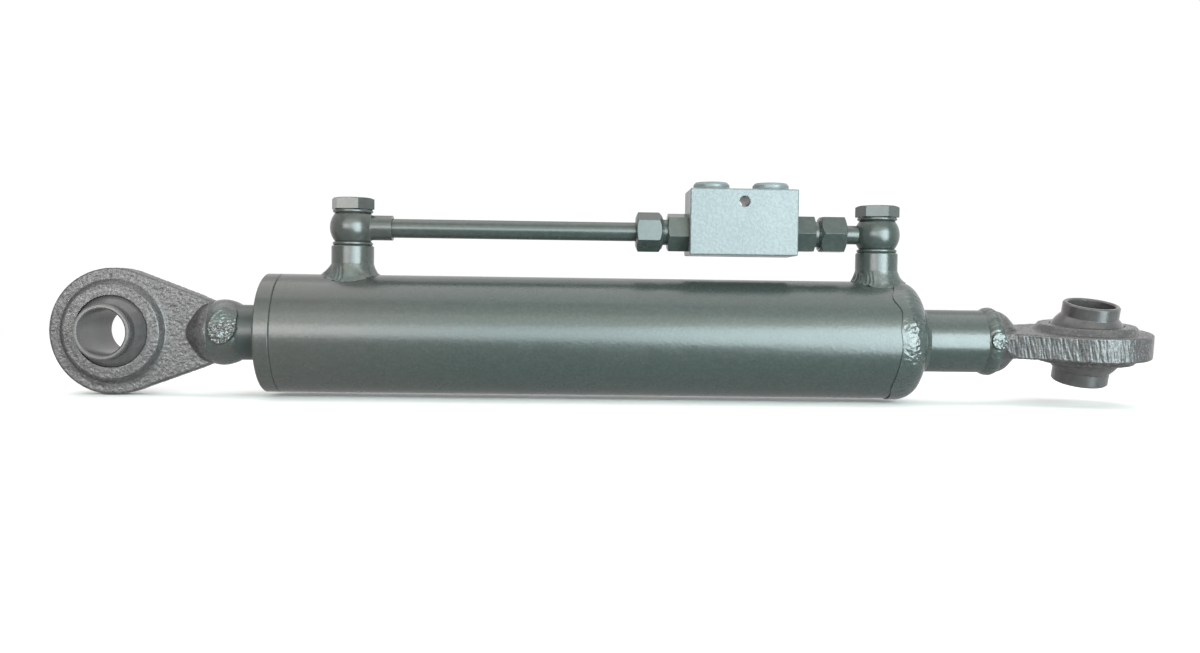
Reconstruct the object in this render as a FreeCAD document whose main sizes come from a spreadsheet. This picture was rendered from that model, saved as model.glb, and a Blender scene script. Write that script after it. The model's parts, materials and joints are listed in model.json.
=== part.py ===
"""Double-acting hydraulic top-link cylinder with a pilot-operated double check valve.

Frame, millimetres: +X runs along the cylinder from the rod end to the base end, +Z is up through
the ports and the valve block, and the origin is the centre of the base ball.
"""
import FreeCAD
import Part
import math
import os
import re
import Sketcher

doc = FreeCAD.newDocument("TopLinkCylinder")
V = FreeCAD.Vector

# ---------------------------------------------------------------- driving dimensions
DIMENSIONS = [
    # stations along the axis
    ("rod_eye_x", -620, "rod ball centre, rod retracted"),
    ("gland_face_x", -526, "outer face of the gland"),
    ("gland_flange", 10, "length of the gland's flange"),
    ("rod_port_x", -472.5, "port at the rod end"),
    ("base_port_x", -137.5, "port at the base end"),
    ("plug_face_x", -112, "outer face of the base plug"),
    ("block_mid_x", -225.7, "middle of the valve block"),
    # barrel, gland, plug
    ("barrel_od", 75, "barrel outside diameter"),
    ("barrel_id", 63, "barrel bore"),
    ("plug_length", 16, "base plug"),
    ("weld_setback", 9, "plug face to the end of the tube"),
    ("bevel_size", 4.5, "weld bevel on the tube's end"),
    ("gland_thread_dia", 65.4, "gland thread, outside"),
    ("gland_thread_length", 20, "gland thread"),
    ("gland_body_length", 14, "plain part of the gland"),
    ("gland_nose_dia", 54, "gland nose, clear of the port"),
    ("gland_nose_length", 23, "gland nose"),
    ("wiper_groove_end", 6, "wiper's groove, from the outer face"),
    ("seal_groove_start", 14, "rod seal's groove, from the outer face"),
    ("seal_groove_end", 24, "rod seal's groove, from the outer face"),
    ("guide_groove_start", 34, "guide ring's groove, from the outer face"),
    ("guide_groove_end", 49, "guide ring's groove, from the outer face"),
    ("seal_groove_depth", 5, "grooves of wiper and rod seal"),
    ("guide_groove_depth", 3, "groove of the guide ring"),
    ("port_hole_dia", 9, "oil hole through the barrel wall"),
    # rod and piston
    ("rod_dia", 35, "piston rod"),
    ("piston_dia", 62.4, "piston, clear of the bore"),
    ("piston_length", 38, "piston"),
    ("piston_shoulder_x", -188.5, "rod shoulder that the piston seats on"),
    ("spigot_dia", 25, "rod spigot through the piston"),
    ("piston_groove_depth", 6, "groove of the piston seal"),
    ("nut_length", 20, "piston nut"),
    ("nut_flats", 36, "piston nut across flats"),
    # ball ends
    ("eye_dia", 80, "outside of the eye"),
    ("eye_thick", 16.3, "plate thickness of the eye"),
    ("boss_base_dia", 66, "raised boss on the eye, at the plate"),
    ("boss_top_dia", 60.5, "raised boss on the eye, at its top"),
    ("boss_half", 12, "half the thickness over both bosses"),
    ("ball_dia", 50, "ball"),
    ("ball_width", 52, "ball, over its collars"),
    ("ball_bore", 28.7, "pin bore of the ball"),
    ("collar_dia", 34.8, "collars of the ball"),
    ("mouth_dia", 45, "opening of the socket at its faces"),
    ("socket_gap", 0.2, "radial play between ball and socket"),
    ("lip_height", 9.9, "middle of the eye to where the socket's lip starts"),
    ("tang_end", 61, "eye centre to the end of the tang"),
    ("tang_width", 40, "tang at its end"),
    ("nose_tip", 45.2, "eye centre to the nose's tip on the plate face"),
    ("nose_crease", 53.6, "eye centre to the edge between cone and dome"),
    ("crease_dia", 33.6, "nose at that edge"),
    ("root_gap", 1.5, "gap that the butt welds fill"),
    ("root_dia", 20, "land at the root of the butt welds"),
    ("stub_dia", 40, "bar between base plug and base eye"),
    ("base_eye_roll", 5.5, "base eye's top is turned towards -Y, degrees"),
    ("base_lean_side", 2, "base ball leans towards +X at rest, degrees"),
    ("base_lean_front", 13, "base ball leans towards -Y at rest, degrees"),
    # ports and banjo fittings
    ("boss_top_z", 56, "top of the port bosses"),
    ("port_boss_dia", 26.6, "port bosses"),
    ("washer_dia", 25.2, "sealing washers"),
    ("washer_thick", 2.4, "sealing washers"),
    ("banjo_height", 18, "banjo over its flats"),
    ("banjo_dia", 28.6, "banjo's round body"),
    ("neck_dia", 15.8, "neck of the rod-end banjo"),
    ("neck_end", 25.2, "bolt axis to the end of that neck"),
    ("bolt_dia", 16.2, "shank of the banjo bolts"),
    ("bolt_waist", 13, "banjo bolts inside the banjo"),
    ("bolt_flats", 24, "banjo bolt head across flats"),
    ("bolt_head", 7.2, "banjo bolt head height"),
    ("bolt_reach", 12, "banjo bolt below the lower washer"),
    ("bolt_oil_dia", 7, "hole up the middle of the banjo bolts"),
    ("tube_dia", 12, "tubes"),
    ("tube_bore", 9, "tubes"),
    # valve block and its fittings
    ("block_length", 68, "valve block, X"),
    ("block_depth", 35, "valve block, Y"),
    ("block_height", 41.6, "valve block, Z"),
    ("block_top_z", 94.4, "top of the valve block"),
    ("line_z", 67.3, "axis of tubes and valve bore"),
    ("cross_hole_dia", 7, "mounting hole through the block"),
    ("cross_hole_drop", 8, "block top to that hole's axis"),
    ("valve_port_pitch", 38, "spacing of the two top ports"),
    ("valve_port_dia", 13, "thread of the two top ports"),
    ("valve_port_depth", 12, "thread of the two top ports"),
    ("chamber_dia", 13, "valve bore around each check poppet"),
    ("pilot_bore_dia", 12.2, "valve bore around the pilot piston"),
    ("pilot_bore_half", 16, "half the length of that bore"),
    ("pilot_tip", 24.4, "middle of the block to the pilot piston's tip"),
    ("fitting_hole_depth", 10.6, "threaded ends of the valve bore"),
    ("fitting_hole_dia", 17, "threaded ends of the valve bore"),
    # fittings, measured from the block's end faces
    ("fitting_flats", 22, "fittings and tube nuts across flats"),
    ("spigot_length", 10.5, "fitting's thread inside the block"),
    ("spigot_face_dia", 16.8, "fitting's thread inside the block"),
    ("fitting_hex_length", 13, "fitting's hexagon"),
    ("line_thread_dia", 17.9, "fitting's thread for the tube nut"),
    ("line_thread_end", 26.3, "end of that thread"),
    ("tube_stop", 18.3, "shoulder that the tube rests against"),
    ("tube_nut_start", 16.4, "tube nut, end next to the fitting"),
    ("tube_nut_end", 33.2, "tube nut, outer end"),
    ("cutting_ring_end", 31.3, "cutting ring, outer end"),
    ("spring_seat", 14, "shoulder that the check spring rests on"),
    ("valve_seat", 7, "depth of the seat of the check poppet"),
    ("seal_face_dia", 21.2, "fitting's flat face around its seal"),
]

sheet = doc.addObject("Spreadsheet::Sheet", "dims")
for row, (alias, value, meaning) in enumerate(DIMENSIONS, start=1):
    sheet.set(f"A{row}", meaning)
    sheet.set(f"B{row}", str(value))
    sheet.setAlias(f"B{row}", alias)
doc.recompute()


def formula(text):
    """A sheet formula: every bare word in it is an alias of the sheet."""
    return re.sub(r"(?<![\w.])([a-z][a-z_]*)\b(?!\()", r"dims.\1", str(text))


def value(text):
    """The number that a formula gives now."""
    return float(sheet.evalExpression(formula(text)))


def bind(thing, **formulas):
    """Ties properties of an object to the sheet; __ stands for a dot in the property's path."""
    for path, text in formulas.items():
        thing.setExpression(path.replace("__", "."), formula(text))
    return thing


def place(thing, x=0, y=0, z=0, axis=(0, 0, 1), angle=0.0):
    """Turns a piece about an axis through its own origin and moves it to a place from the sheet."""
    turn = FreeCAD.Rotation(V(*axis), angle)
    thing.Placement = FreeCAD.Placement(V(value(x), value(y), value(z)), turn)
    return bind(thing, Placement__Base__x=x, Placement__Base__y=y, Placement__Base__z=z)


# ---------------------------------------------------------------- shape helpers
PLANE_OF = {"X": "XY_Plane", "Z": "XZ_Plane", "plate": "XY_Plane"}


def arc_between(start, end, radius):
    """The short arc between two points, run anticlockwise as a sketch wants it.

    A positive radius bulges to the right of the way from start to end, a negative one to the left.
    """
    chord = end - start
    side = V(chord.y, -chord.x, 0).normalize() * math.copysign(1, radius)
    rise = abs(radius) - math.sqrt(radius ** 2 - (chord.Length / 2) ** 2)
    middle = (start + end) * 0.5 + side * rise
    if radius > 0:
        return Part.ArcOfCircle(start, middle, end)
    return Part.ArcOfCircle(end, middle, start)


def profile(body, plane, corners):
    """A closed sketch whose corners are (across, up[, arc radius to the next corner]) formulas."""
    sketch = body.newObject("Sketcher::SketchObject", body.Label + "_profile")
    origin_plane = [f for f in body.Origin.OriginFeatures if f.Role == PLANE_OF[plane]][0]
    sketch.AttachmentSupport = [(origin_plane, "")]
    sketch.MapMode = "FlatFace"
    points = [V(value(c[0]), value(c[1]), 0) for c in corners]
    ends = []
    for i, corner in enumerate(corners):
        start = points[i]
        end = points[(i + 1) % len(points)]
        if len(corner) == 3:
            radius = value(corner[2])
            sketch.addGeometry(arc_between(start, end, radius))
            ends.append((1, 2) if radius > 0 else (2, 1))
        else:
            sketch.addGeometry(Part.LineSegment(start, end))
            ends.append((1, 2))
    for i, (first, last) in enumerate(ends):
        follower = (i + 1) % len(ends)
        sketch.addConstraint(Sketcher.Constraint("Coincident", i, last, follower, ends[follower][0]))
    for i, corner in enumerate(corners):
        pins = [("DistanceX", corner[0], points[i].x), ("DistanceY", corner[1], points[i].y)]
        for kind, text, number in pins:
            index = sketch.addConstraint(Sketcher.Constraint(kind, -1, 1, i, ends[i][0], number))
            sketch.setExpression(f"Constraints[{index}]", formula(text))
        if len(corner) == 3:
            size = abs(value(corner[2]))
            index = sketch.addConstraint(Sketcher.Constraint("Radius", i, size))
            sketch.setExpression(f"Constraints[{index}]", formula(corner[2]).lstrip("-"))
    return sketch


def turned(label, corners, axis="X"):
    """A piece turned about its local X or Z axis; corners are (along, radius) or (radius, along)."""
    body = doc.addObject("PartDesign::Body", label)
    body.Label = label
    sketch = profile(body, axis, corners)
    revolution = body.newObject("PartDesign::Revolution", label + "_turn")
    revolution.Profile = sketch
    revolution.ReferenceAxis = (sketch, ["H_Axis" if axis == "X" else "V_Axis"])
    revolution.Angle = 360
    return body


def ring(label, inner, outer, length, axis="X"):
    """A plain ring from 0 to length on its axis."""
    if axis == "X":
        corners = [(0, inner), (length, inner), (length, outer), (0, outer)]
    else:
        corners = [(inner, 0), (outer, 0), (outer, length), (inner, length)]
    return turned(label, corners, axis)


def bar(label, radius, length, axis=(0, 0, 1)):
    """A plain cylinder from its origin along an axis."""
    cylinder = doc.addObject("Part::Cylinder", label)
    cylinder.Placement.Rotation = FreeCAD.Rotation(V(0, 0, 1), V(*axis))
    return bind(cylinder, Radius=radius, Height=length)


def hexagon(label, flats, length, turn, axis="X"):
    """A hexagonal prism from 0 to length.

    turn is the angle of a corner, from -Z towards +Y where the prism lies on X, and from +X on Z.
    """
    prism = doc.addObject("Part::Prism", label)
    prism.Polygon = 6
    spin = FreeCAD.Rotation(V(0, 0, 1), turn)
    lay = FreeCAD.Rotation(V(0, 1, 0), 90) if axis == "X" else FreeCAD.Rotation()
    prism.Placement.Rotation = lay * spin
    return bind(prism, Circumradius=f"({flats}) / sqrt(3)", Height=length)


def boolean(kind, label, base, *tools):
    """Part::Cut, Part::Fuse or Part::Common as a chain, the last link carrying the label."""
    result = base
    for number, tool in enumerate(tools, start=1):
        name = label if number == len(tools) else f"{label}_step_{number}"
        link = doc.addObject("Part::" + kind, name)
        link.Base = result
        link.Tool = tool
        link.Label = name
        result = link
    return result


def groove(start, end, surface, floor):
    """Four corners of a square groove between two stations of a turned profile."""
    return [(start, surface), (start, floor), (end, floor), (end, surface)]


nodes = []


def keep(piece):
    """Marks a finished piece as one of the object's sub-parts."""
    nodes.append(piece)
    return piece


# ---------------------------------------------------------------- barrel, gland and base plug
seam_x = "gland_face_x + gland_flange"
tube_end_x = "plug_face_x - weld_setback"
tube_length = f"{tube_end_x} - ({seam_x})"
SEAM_CHAMFER = 0.6


def make_barrel():
    counterbore = "gland_thread_dia / 2 + 0.1"
    bore = "barrel_id / 2"
    wall = "barrel_od / 2"
    shell = turned("barrel_tube", [
        (0, counterbore),
        ("gland_thread_length + 2", counterbore),
        ("gland_thread_length + 2", bore),
        (tube_length, bore),
        (tube_length, f"{wall} - bevel_size"),
        (f"{tube_length} - bevel_size", wall),
        (SEAM_CHAMFER, wall),
        (0, f"{wall} - {SEAM_CHAMFER}"),
    ])
    place(shell, x=seam_x)
    drills = []
    for port in ("rod", "base"):
        drill = bar(f"{port}_port_drill", "port_hole_dia / 2", "barrel_od")
        drills.append(place(drill, x=f"{port}_port_x"))
    keep(boolean("Cut", "barrel", shell, *drills))


def make_gland():
    thread_end = "gland_flange + gland_thread_length"
    body_end = f"{thread_end} + gland_body_length"
    nose_end = f"{body_end} + gland_nose_length"
    body_radius = "barrel_id / 2 - 0.1"
    rod_hole = "rod_dia / 2 + 0.3"
    seal_floor = "rod_dia / 2 + seal_groove_depth"
    guide_floor = "rod_dia / 2 + guide_groove_depth"
    nose = "gland_nose_dia / 2"
    corners = [(0, seal_floor), ("wiper_groove_end", seal_floor), ("wiper_groove_end", rod_hole)]
    corners += groove("seal_groove_start", "seal_groove_end", rod_hole, seal_floor)
    corners += groove("guide_groove_start", "guide_groove_end", rod_hole, guide_floor)
    corners += [(nose_end, rod_hole), (nose_end, f"{nose} - 2"), (f"{nose_end} - 2", nose)]
    corners += [(body_end, nose), (body_end, body_radius)]
    corners += groove(f"{thread_end} + 9", f"{thread_end} + 4.5", body_radius, f"{body_radius} - 2.8")
    corners += [(thread_end, body_radius), (thread_end, "gland_thread_dia / 2")]
    corners += [("gland_flange", "gland_thread_dia / 2")]
    corners += [("gland_flange", f"barrel_od / 2 - {SEAM_CHAMFER}")]
    corners += [(f"gland_flange - {SEAM_CHAMFER}", "barrel_od / 2")]
    corners += [(1, "barrel_od / 2"), (0, "barrel_od / 2 - 1")]
    gland = turned("gland", corners)
    keep(place(gland, x="gland_face_x"))

    near_rod = "rod_dia / 2 + 0.05"
    wiper = turned("rod_wiper", [
        (0.6, near_rod),
        (2, "rod_dia / 2 + 1.2"),
        (5.8, "rod_dia / 2 + 1.2"),
        (5.8, "rod_dia / 2 + 4.9"),
        (1.2, "rod_dia / 2 + 4.9"),
        (0.2, "rod_dia / 2 + 2"),
    ])
    keep(place(wiper, x="gland_face_x"))
    seal = turned("rod_seal", [
        (0.2, "rod_dia / 2 + 0.6"),
        (8.2, near_rod),
        (9.6, "rod_dia / 2 + 0.5"),
        (7, "rod_dia / 2 + 2.4"),
        (9.6, "rod_dia / 2 + 4.4"),
        (8.6, "rod_dia / 2 + 4.9"),
        (0.2, "rod_dia / 2 + 4.7"),
    ])
    keep(place(seal, x="gland_face_x + seal_groove_start"))
    guide_length = "guide_groove_end - guide_groove_start - 0.4"
    guide = ring("gland_wear_ring", near_rod, f"{guide_floor} - 0.1", guide_length)
    keep(place(guide, x="gland_face_x + guide_groove_start + 0.2"))

    o_ring = doc.addObject("Part::Torus", "gland_o_ring")
    bind(o_ring, Radius1="barrel_id / 2 - 1.5", Radius2=1.4)
    keep(place(o_ring, x=f"gland_face_x + {thread_end} + 6.75", axis=(0, 1, 0), angle=90))


def make_base():
    radius = "barrel_id / 2 - 0.1"
    plug = turned("base_plug", [
        (0, 0),
        (0, radius),
        ("plug_length - 6", radius),
        ("plug_length", f"{radius} - 5"),
        ("plug_length", 0),
    ])
    keep(place(plug, x="plug_face_x - plug_length"))
    weld = turned("base_weld", [
        ("-weld_setback - bevel_size", "barrel_od / 2"),
        ("-weld_setback", "barrel_od / 2 - bevel_size"),
        ("-weld_setback", radius),
        (-6, radius),
        (0, f"{radius} - 5"),
        (0.5, f"{radius} - 4.4", 10.6),
    ])
    keep(place(weld, x="plug_face_x"))
    stub = turned("base_stub", [
        (0, 0),
        (0, "stub_dia / 2"),
        ("-plug_face_x - tang_end - 7.5", "stub_dia / 2"),
        ("-plug_face_x - tang_end - 3 - root_gap", "root_dia / 2 + 2"),
        ("-plug_face_x - tang_end - 3 - root_gap", 0),
    ])
    keep(place(stub, x="plug_face_x"))
    stub_weld = turned("stub_weld", [
        (0, "stub_dia / 2"),
        (5, "stub_dia / 2"),
        (3.4, "stub_dia / 2 + 3.2"),
        (0, "stub_dia / 2 + 5"),
    ])
    keep(place(stub_weld, x="plug_face_x"))
    return weld


# ---------------------------------------------------------------- rod and piston
rod_end_x = "rod_eye_x + tang_end + 3 + root_gap"
nut_x = "piston_shoulder_x + piston_length"


def make_rod():
    shoulder = f"piston_shoulder_x - ({rod_end_x})"
    tip = f"{nut_x} + nut_length - ({rod_end_x}) - 0.5"
    rod = turned("rod", [
        (0, 0),
        (0, "root_dia / 2"),
        ("rod_dia / 2 - root_dia / 2", "rod_dia / 2"),
        (shoulder, "rod_dia / 2"),
        (shoulder, "spigot_dia / 2 - 0.05"),
        (f"{tip} - 1.5", "spigot_dia / 2 - 0.05"),
        (tip, "spigot_dia / 2 - 1.5"),
        (tip, 0),
    ])
    keep(place(rod, x=rod_end_x))

    hole = "spigot_dia / 2"
    outside = "piston_dia / 2"
    guide_floor = "piston_dia / 2 - 2.6"
    seal_floor = "piston_dia / 2 - piston_groove_depth"
    corners = [(0, hole)] + groove(16.8, 20, hole, f"{hole} + 1.9")
    corners += [("piston_length", hole), ("piston_length", f"{outside} - 1.5")]
    corners += [("piston_length - 1.5", outside)]
    for start, end, floor in ((34, 25.8, guide_floor), (24, 13, seal_floor), (12.2, 4, guide_floor)):
        corners += groove(start, end, outside, floor)
    corners += [(1.5, outside), (0, f"{outside} - 1.5")]
    keep(place(turned("piston", corners), x="piston_shoulder_x"))

    o_ring = doc.addObject("Part::Torus", "piston_o_ring")
    bind(o_ring, Radius1="spigot_dia / 2 + 0.95", Radius2=0.9)
    keep(place(o_ring, x="piston_shoulder_x + 18.4", axis=(0, 1, 0), angle=90))

    running = "barrel_id / 2 - 0.05"
    for label, start, floor, length in (
        ("front_piston_wear_ring", 4.3, guide_floor, 7.6),
        ("piston_seal", 13.4, seal_floor, 10.2),
        ("rear_piston_wear_ring", 26.1, guide_floor, 7.6),
    ):
        band = ring(label, f"{floor} + 0.3", running, length)
        keep(place(band, x=f"piston_shoulder_x + {start}"))

    prism = hexagon("piston_nut_hexagon", "nut_flats", "nut_length", 0)
    blank = turned("piston_nut_blank", [
        (0, "spigot_dia / 2"),
        ("nut_length", "spigot_dia / 2"),
        ("nut_length", "nut_flats / 2 - 0.5"),
        ("nut_length - 2.2", "nut_flats / 2 + 3"),
        (0, "nut_flats / 2 + 3"),
    ])
    keep(place(boolean("Common", "piston_nut", prism, blank), x=nut_x))


# ---------------------------------------------------------------- ball ends
def make_eye(label):
    """A forged eye about its own origin: the pin axis is local Z and the tang points along +X."""
    plate = doc.addObject("PartDesign::Body", label + "_plate")
    radius = value("eye_dia / 2")
    reach = math.hypot(value("tang_end"), value("tang_width / 2"))
    corner_angle = math.atan2(value("tang_width / 2"), value("tang_end"))
    contact = corner_angle + math.acos(radius / reach)
    touch_x = round(radius * math.cos(contact), 3)
    touch_y = round(radius * math.sin(contact), 3)
    sketch = profile(plate, "plate", [
        (0, "-eye_dia / 2", "eye_dia / 2"),
        (touch_x, -touch_y),
        ("tang_end", "-tang_width / 2"),
        ("tang_end", "tang_width / 2"),
        (touch_x, touch_y, "eye_dia / 2"),
        (0, "eye_dia / 2", "eye_dia / 2"),
        ("-eye_dia / 2", 0, "eye_dia / 2"),
    ])
    pad = plate.newObject("PartDesign::Pad", label + "_pad")
    pad.Profile = sketch
    pad.Midplane = True
    bind(pad, Length="eye_thick")
    doc.recompute()
    rims = [f"Edge{i}" for i, edge in enumerate(pad.Shape.Edges, start=1) if is_rim(edge)]
    soften = plate.newObject("PartDesign::Fillet", label + "_soften")
    soften.Base = (pad, rims)
    soften.Radius = 1.6

    half = "boss_half"
    bosses = turned(label + "_bosses", [
        (0, f"-{half}"),
        ("boss_top_dia / 2 - 0.8", f"-{half}"),
        ("boss_top_dia / 2", f"-{half} + 0.8"),
        ("boss_base_dia / 2", "-eye_thick / 2 + 0.4"),
        ("boss_base_dia / 2", "eye_thick / 2 - 0.4"),
        ("boss_top_dia / 2", f"{half} - 0.8"),
        ("boss_top_dia / 2 - 0.8", half),
        (0, half),
    ], axis="Z")
    nose = turned(label + "_nose", [
        ("nose_tip - eye_thick / 2 + 0.5", 0),
        ("nose_tip", "eye_thick / 2"),
        ("nose_crease", "crease_dia / 2", -12),
        ("tang_end", "tang_width / 2"),
        ("tang_end + 3", "root_dia / 2"),
        ("tang_end + 3", 0),
    ])
    trim = turned(label + "_trim", [
        ("-eye_dia", 0),
        ("tang_end", 0),
        ("tang_end", "tang_width / 2"),
        ("nose_crease", "tang_width / 2 + 3.4"),
        ("nose_crease", "eye_dia"),
        ("-eye_dia", "eye_dia"),
    ])
    web = boolean("Common", label + "_web", plate, trim)
    solid = boolean("Fuse", label + "_solid", web, bosses, nose)
    socket = "ball_dia / 2 + socket_gap"
    lip_radius = f"sqrt(({socket}) * ({socket}) - lip_height * lip_height)"
    cavity = turned(label + "_cavity", [
        (0, "-boss_half - 1"),
        ("mouth_dia / 2", "-boss_half - 1"),
        ("mouth_dia / 2", "-boss_half"),
        (lip_radius, "-lip_height", socket),
        (lip_radius, "lip_height"),
        ("mouth_dia / 2", "boss_half"),
        ("mouth_dia / 2", "boss_half + 1"),
        (0, "boss_half + 1"),
    ], axis="Z")
    return boolean("Cut", label, solid, cavity)


def is_rim(edge):
    """True for the outline edges on the two flat faces, away from the tang's end."""
    box = edge.BoundBox
    flat = box.ZLength < 0.01
    return flat and box.XMin < value("tang_end") - 1


def make_ball(label):
    """A ball with two collars about its own origin, bored along local Z."""
    half = "ball_width / 2"
    collar = "collar_dia / 2"
    neck = f"sqrt(ball_dia * ball_dia / 4 - ({collar}) * ({collar}))"
    bore = "ball_bore / 2"
    return turned(label, [
        (f"{bore} + 0.8", f"-{half}"),
        (f"{collar} - 0.9", f"-{half}"),
        (collar, f"-{half} + 0.9"),
        (collar, f"-({neck})", "ball_dia / 2"),
        (collar, neck),
        (collar, f"{half} - 0.9"),
        (f"{collar} - 0.9", half),
        (f"{bore} + 0.8", half),
        (bore, f"{half} - 0.8"),
        (bore, f"-{half} + 0.8"),
    ], axis="Z")


def make_ball_ends():
    # the rod eye's pin axis lies along Y, its tang points at the rod
    keep(place(make_eye("rod_eye"), x="rod_eye_x", axis=(1, 0, 0), angle=90))
    keep(place(make_ball("rod_ball"), x="rod_eye_x", axis=(1, 0, 0), angle=90))
    rod_weld = turned("rod_eye_weld", [
        (3, 0),
        (3, "root_dia / 2"),
        (0, "tang_width / 2", -17.6),
        (16.5, "rod_dia / 2"),
        ("3 + root_gap + rod_dia / 2 - root_dia / 2", "rod_dia / 2"),
        ("3 + root_gap", "root_dia / 2"),
        ("3 + root_gap", 0),
    ])
    keep(place(rod_weld, x="rod_eye_x + tang_end"))

    # the base eye's pin axis is nearly upright, its tang points back at the barrel
    base_eye = make_eye("base_eye")
    roll = FreeCAD.Rotation(V(1, 0, 0), value("base_eye_roll"))
    base_eye.Placement.Rotation = roll * FreeCAD.Rotation(V(0, 0, 1), 180)
    keep(base_eye)
    stub_end_weld = turned("base_eye_weld", [
        (3, 0),
        (3, "root_dia / 2"),
        (0, "tang_width / 2", -6.4),
        (8.2, "stub_dia / 2"),
        (7.5, "stub_dia / 2"),
        ("3 + root_gap", "root_dia / 2 + 2"),
        ("3 + root_gap", 0),
    ])
    keep(place(stub_end_weld, x="-tang_end", axis=(0, 0, 1), angle=180))
    ball = make_ball("base_ball")
    lean = FreeCAD.Rotation(V(1, 0, 0), value("base_lean_front"))
    lean = lean * FreeCAD.Rotation(V(0, 1, 0), value("base_lean_side"))
    ball.Placement = FreeCAD.Placement(V(), lean)
    keep(ball)


# ---------------------------------------------------------------- ports and banjo fittings
lower_washer_z = "boss_top_z"
banjo_z = "boss_top_z + washer_thick"
upper_washer_z = f"{banjo_z} + banjo_height"
head_z = f"{upper_washer_z} + washer_thick"


def make_port(end, *neighbours):
    """Boss, weld and washers of one port, cut clear of its neighbours; end is rod or base."""
    port_x = f"{end}_port_x"
    radius = "port_boss_dia / 2"
    blank = turned(f"{end}_port_boss_blank", [
        ("port_hole_dia / 2", "barrel_od / 2 - 5"),
        (radius, "barrel_od / 2 - 5"),
        (radius, "boss_top_z - 0.8"),
        (f"{radius} - 0.8", "boss_top_z"),
        ("bolt_dia / 2 + 0.1", "boss_top_z"),
        ("bolt_dia / 2 + 0.1", "barrel_od / 2 + 2.5"),
        ("port_hole_dia / 2", "barrel_od / 2 + 2.5"),
    ], axis="Z")
    flare = turned(f"{end}_port_weld_flare", [
        (radius, "barrel_od / 2 - 9"),
        (f"{radius} + 5.5", "barrel_od / 2 - 9"),
        (f"{radius} + 3.9", "barrel_od / 2 - 0.3", -9),
        (radius, "barrel_od / 2 + 7.2"),
    ], axis="Z")
    for label, solid in ((f"{end}_port_boss", blank), (f"{end}_port_weld", flare)):
        saddle = bar(f"{label}_saddle", "barrel_od / 2", "4 * port_boss_dia", axis=(1, 0, 0))
        bind(saddle, Placement__Base__x=f"{port_x} - 2 * port_boss_dia")
        keep(boolean("Cut", label, place(solid, x=port_x), saddle, *neighbours))

    for label, height in ((f"{end}_lower_washer", lower_washer_z), (f"{end}_upper_washer", upper_washer_z)):
        outer = "washer_dia / 2"
        washer = turned(label, [
            ("bolt_dia / 2 + 0.15", 0.15),
            (f"{outer} - 0.7", 0.15),
            (outer, 0.8),
            (outer, "washer_thick - 0.8"),
            (f"{outer} - 0.7", "washer_thick - 0.15"),
            ("bolt_dia / 2 + 0.15", "washer_thick - 0.15"),
        ], axis="Z")
        keep(place(washer, x=port_x, z=height))


def make_banjo(end, side, reach):
    """A round banjo; its line leaves along side (+1 or -1) and is socketed up to reach."""
    half = "banjo_height / 2"
    flat = f"sqrt(banjo_dia * banjo_dia / 4 - ({half}) * ({half}))"
    ball = turned(f"{end}_banjo_ball", [
        (0, f"-{half}"),
        (flat, f"-{half}", "banjo_dia / 2"),
        (flat, half),
        (0, half),
    ], axis="Z")
    solid = ball
    if end == "rod":
        neck = bar("rod_banjo_neck", "neck_dia / 2", "neck_end", axis=(side, 0, 0))
        solid = boolean("Fuse", "rod_banjo_solid", ball, neck)
    bolt_hole = bar(f"{end}_banjo_bolt_hole", "bolt_dia / 2 + 0.15", "banjo_height + 2")
    place(bolt_hole, z="-banjo_height / 2 - 1")
    oil_way = bar(f"{end}_banjo_oil_way", "tube_bore / 2", 40, axis=(side, 0, 0))
    socket = bar(f"{end}_banjo_socket", "tube_dia / 2 + 0.12", 20, axis=(side, 0, 0))
    bind(socket, Placement__Base__x=f"{side} * ({reach})")
    banjo = boolean("Cut", f"{end}_banjo", solid, bolt_hole, oil_way, socket)
    keep(place(banjo, x=f"{end}_port_x", z=f"{banjo_z} + banjo_height / 2"))


def make_banjo_bolt(end, turn):
    """Hollow bolt with a hexagon head; local zero is the head's underside, the shank points down."""
    radius = "bolt_dia / 2"
    waist_top = "-washer_thick - 1"
    waist_bottom = "-washer_thick - banjo_height + 1"
    tip = "-washer_thick * 2 - banjo_height - bolt_reach"
    oil_way = "bolt_oil_dia / 2"
    shank = turned(f"{end}_banjo_bolt_shank", [
        (0, 0.5),
        (radius, 0.5),
        (radius, waist_top),
        ("bolt_waist / 2", f"{waist_top} - 1"),
        ("bolt_waist / 2", f"{waist_bottom} + 1"),
        (radius, waist_bottom),
        (radius, f"{tip} + 1.2"),
        (f"{radius} - 1.2", tip),
        (oil_way, tip),
        (oil_way, "-washer_thick - banjo_height / 2 + 3"),
        (0, "-washer_thick - banjo_height / 2 + 5"),
    ], axis="Z")
    prism = hexagon(f"{end}_banjo_bolt_hexagon", "bolt_flats", "bolt_head", turn, axis="Z")
    blank = turned(f"{end}_banjo_bolt_blank", [
        (0, 0),
        ("bolt_flats / 2 + 2.2", 0),
        ("bolt_flats / 2 + 2.2", "bolt_head - 1"),
        ("bolt_flats / 2 - 0.3", "bolt_head"),
        (0, "bolt_head"),
    ], axis="Z")
    head = boolean("Common", f"{end}_banjo_bolt_head", prism, blank)
    solid = boolean("Fuse", f"{end}_banjo_bolt_solid", head, shank)
    drills = []
    for number, axis in enumerate(((1, 0, 0), (0, 1, 0)), start=1):
        drill = bar(f"{end}_banjo_bolt_drill_{number}", 2.5, 20, axis=axis)
        place_x, place_y = -10 * axis[0], -10 * axis[1]
        drill.Placement.Base = V(place_x, place_y, 0)
        bind(drill, Placement__Base__z="-washer_thick - banjo_height / 2")
        drills.append(drill)
    bolt = boolean("Cut", f"{end}_banjo_bolt", solid, *drills)
    keep(place(bolt, x=f"{end}_port_x", z=head_z))


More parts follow.
